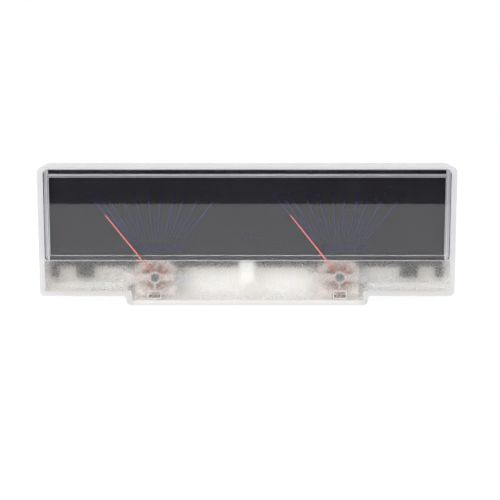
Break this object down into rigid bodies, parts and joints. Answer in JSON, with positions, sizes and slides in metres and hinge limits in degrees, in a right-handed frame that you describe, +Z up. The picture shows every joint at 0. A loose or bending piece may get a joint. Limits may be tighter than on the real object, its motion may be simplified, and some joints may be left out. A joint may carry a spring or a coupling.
{
  "type": "analog vu meter",
  "caption": "Wide panel-mount level meter with pointers over a black dial behind a raised clear window, frosted lower strip, lower tab, white rear case.",
  "frame": {"origin": "on the plane of the lower tab's flat lower face, below the middle of the whole unit", "axes": "+X to the viewer's right, +Y away from the viewer, +Z up; the window faces -Y"},
  "size_m": [0.134, 0.0228, 0.0448],
  "materials": {
    "clear_plastic": "clear moulding, frosted below the window",
    "case_plastic": "creamy white moulding",
    "dial_black": "matt black with dim blue print",
    "milky_plastic": "milky sheet",
    "board": "white solder mask",
    "led_resin": "yellowish resin",
    "steel": "turned",
    "tinned_brass": "tinned",
    "frame_plastic": "white moulding",
    "magnet": "ground",
    "soft_iron": "plated",
    "bridge_metal": "stamped",
    "aluminium": "folded foil",
    "copper": "enamelled copper wire",
    "pointer_paint": "thin orange red paint",
    "spring_bronze": "flat ribbon"
  },
  "bodies": {
    "housing": {"front_cover": "clear_plastic", "rear_case": "case_plastic", "dial_plate": "dial_black", "light_diffuser": "milky_plastic", "backlight_board": "board", "backlight_leds": "led_resin", "board_screws": "steel", "lamp_terminals": "tinned_brass", "movement_screws": "steel", "left_movement_frame": "frame_plastic", "left_magnet_core": "magnet", "left_core_spacers": "frame_plastic", "left_return_ring": "soft_iron", "left_front_bridge": "bridge_metal", "left_bridge_pillars": "bridge_metal", "left_front_jewel_screw": "steel", "left_rear_bridge": "bridge_metal", "left_rear_jewel_screw": "steel", "left_rear_hairspring": "spring_bronze", "left_signal_terminals": "tinned_brass", "right_movement_frame": "frame_plastic", "right_magnet_core": "magnet", "right_core_spacers": "frame_plastic", "right_return_ring": "soft_iron", "right_front_bridge": "bridge_metal", "right_bridge_pillars": "bridge_metal", "right_front_jewel_screw": "steel", "right_rear_bridge": "bridge_metal", "right_rear_jewel_screw": "steel", "right_rear_hairspring": "spring_bronze", "right_signal_terminals": "tinned_brass"},
    "left_adjuster": {"left_zero_adjuster": "bridge_metal", "left_front_hairspring": "spring_bronze"},
    "left_pointer": {"left_pointer": "pointer_paint", "left_counterweights": "tinned_brass", "left_arbor": "steel", "left_coil_former": "aluminium", "left_coil_winding": "copper"},
    "right_adjuster": {"right_zero_adjuster": "bridge_metal", "right_front_hairspring": "spring_bronze"},
    "right_pointer": {"right_pointer": "pointer_paint", "right_counterweights": "tinned_brass", "right_arbor": "steel", "right_coil_former": "aluminium", "right_coil_winding": "copper"}
  },
  "joints": [
    {"name": "left_zero_adjust", "type": "hinge", "parent": "housing", "child": "left_adjuster", "pos_m": [-0.03, 0, 0.0088], "axis": [0, 1, 0], "range_deg": [-8, 8]},
    {"name": "left_pointer_swing", "type": "hinge", "parent": "left_adjuster", "child": "left_pointer", "pos_m": [-0.03, 0, 0.0088], "axis": [0, 1, 0], "range_deg": [0, 77], "stiffness_Nm_per_rad": 0.00002},
    {"name": "right_zero_adjust", "type": "hinge", "parent": "housing", "child": "right_adjuster", "pos_m": [0.03, 0, 0.0088], "axis": [0, 1, 0], "range_deg": [-8, 8]},
    {"name": "right_pointer_swing", "type": "hinge", "parent": "right_adjuster", "child": "right_pointer", "pos_m": [0.03, 0, 0.0088], "axis": [0, 1, 0], "range_deg": [0, 77], "stiffness_Nm_per_rad": 0.00002}
  ]
}
